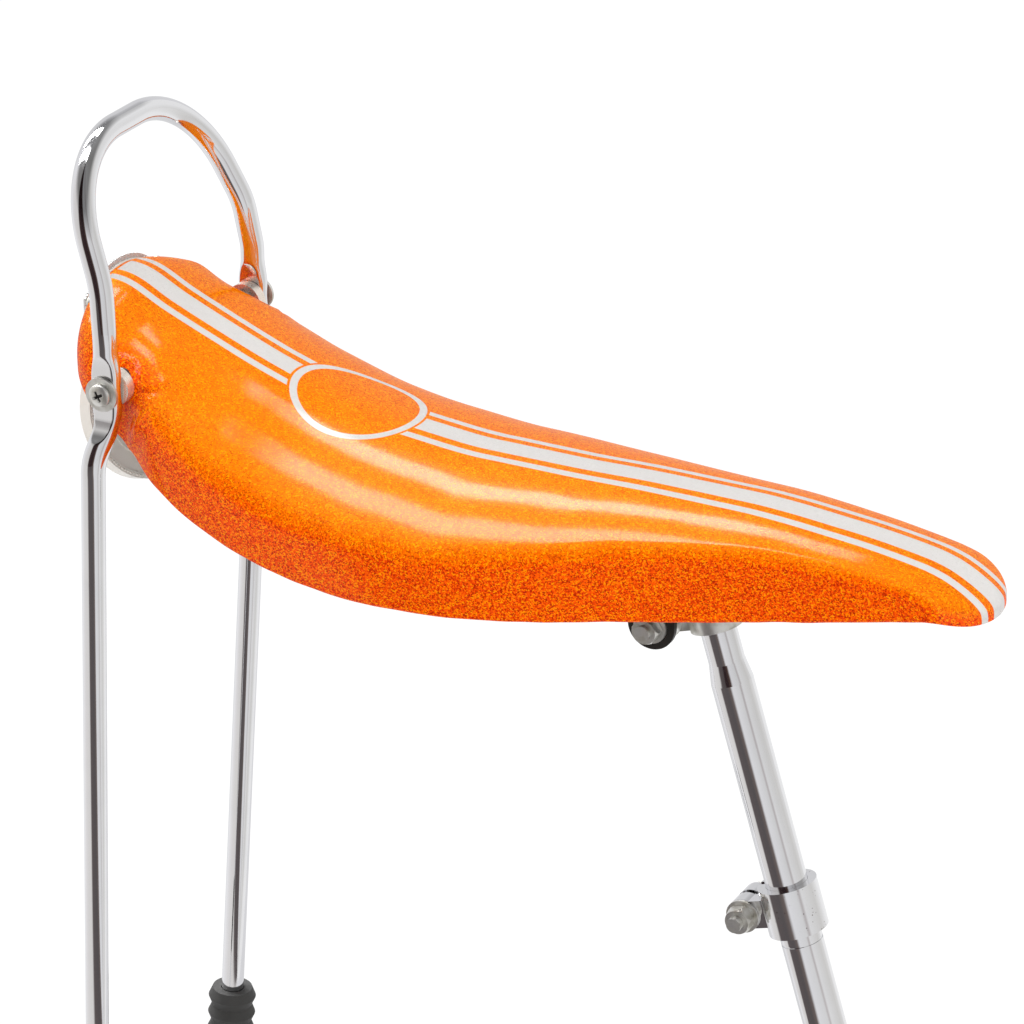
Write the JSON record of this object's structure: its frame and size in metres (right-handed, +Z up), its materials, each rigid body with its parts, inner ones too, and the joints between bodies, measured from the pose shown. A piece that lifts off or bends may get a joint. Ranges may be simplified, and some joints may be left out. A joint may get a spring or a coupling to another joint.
{
  "type": "banana bicycle seat with sissy bar",
  "caption": "Long banana bicycle seat in sparkle vinyl with a hooped chrome backrest bar, spring struts, round reflector, seat post and clamp collar.",
  "frame": {"origin": "on the seat post's axis, halfway up the stretch that goes into a bicycle frame", "axes": "+X to the seat's nose, +Y to the rider's left, +Z up"},
  "size_m": [0.506, 0.1818, 0.6692],
  "materials": {
    "vinyl": "glossy metal-flake vinyl",
    "chrome": "polished, lightly worn",
    "zinc": "dull plated",
    "black_steel": "black paint",
    "rubber": "matt",
    "reflector_rim": "aged plastic",
    "reflector_lens": "moulded prisms"
  },
  "bodies": {
    "post": {"seat_post": "chrome", "clamp_body": "zinc", "clamp_cup_right": "zinc", "clamp_cup_left": "zinc", "clamp_bolt": "zinc", "clamp_nut": "zinc", "clamp_washers": "zinc"},
    "collar": {"collar": "chrome", "collar_bolt": "zinc", "collar_nut": "zinc"},
    "saddle": {"seat_cushion": "vinyl", "seat_pan": "black_steel", "front_bracket": "black_steel", "rear_bracket": "black_steel", "side_disc_right": "zinc", "side_disc_left": "zinc", "side_washer_right": "zinc", "side_washer_left": "zinc", "side_screw_right": "zinc", "side_screw_left": "zinc", "tail_trim": "zinc", "reflector_housing": "reflector_rim", "reflector_lens": "reflector_lens", "reflector_bracket": "chrome"},
    "sissy_bar": {"sissy_bar": "chrome", "boot_right": "rubber", "boot_left": "rubber", "strut_right": "chrome", "strut_left": "chrome"}
  },
  "joints": [
    {"name": "seat_height", "type": "slide", "parent": "post", "child": "collar", "axis": [-0.2924, 0, 0.9563], "range_m": [-0.05, 0.1]},
    {"name": "saddle_tilt", "type": "hinge", "parent": "post", "child": "saddle", "pos_m": [-0.09679, 0, 0.22765], "axis": [0, 1, 0], "range_deg": [-10, 10]},
    {"name": "sissy_swing", "type": "hinge", "parent": "saddle", "child": "sissy_bar", "pos_m": [-0.38029, 0, 0.32165], "axis": [0, 1, 0], "range_deg": [-5, 5]}
  ]
}
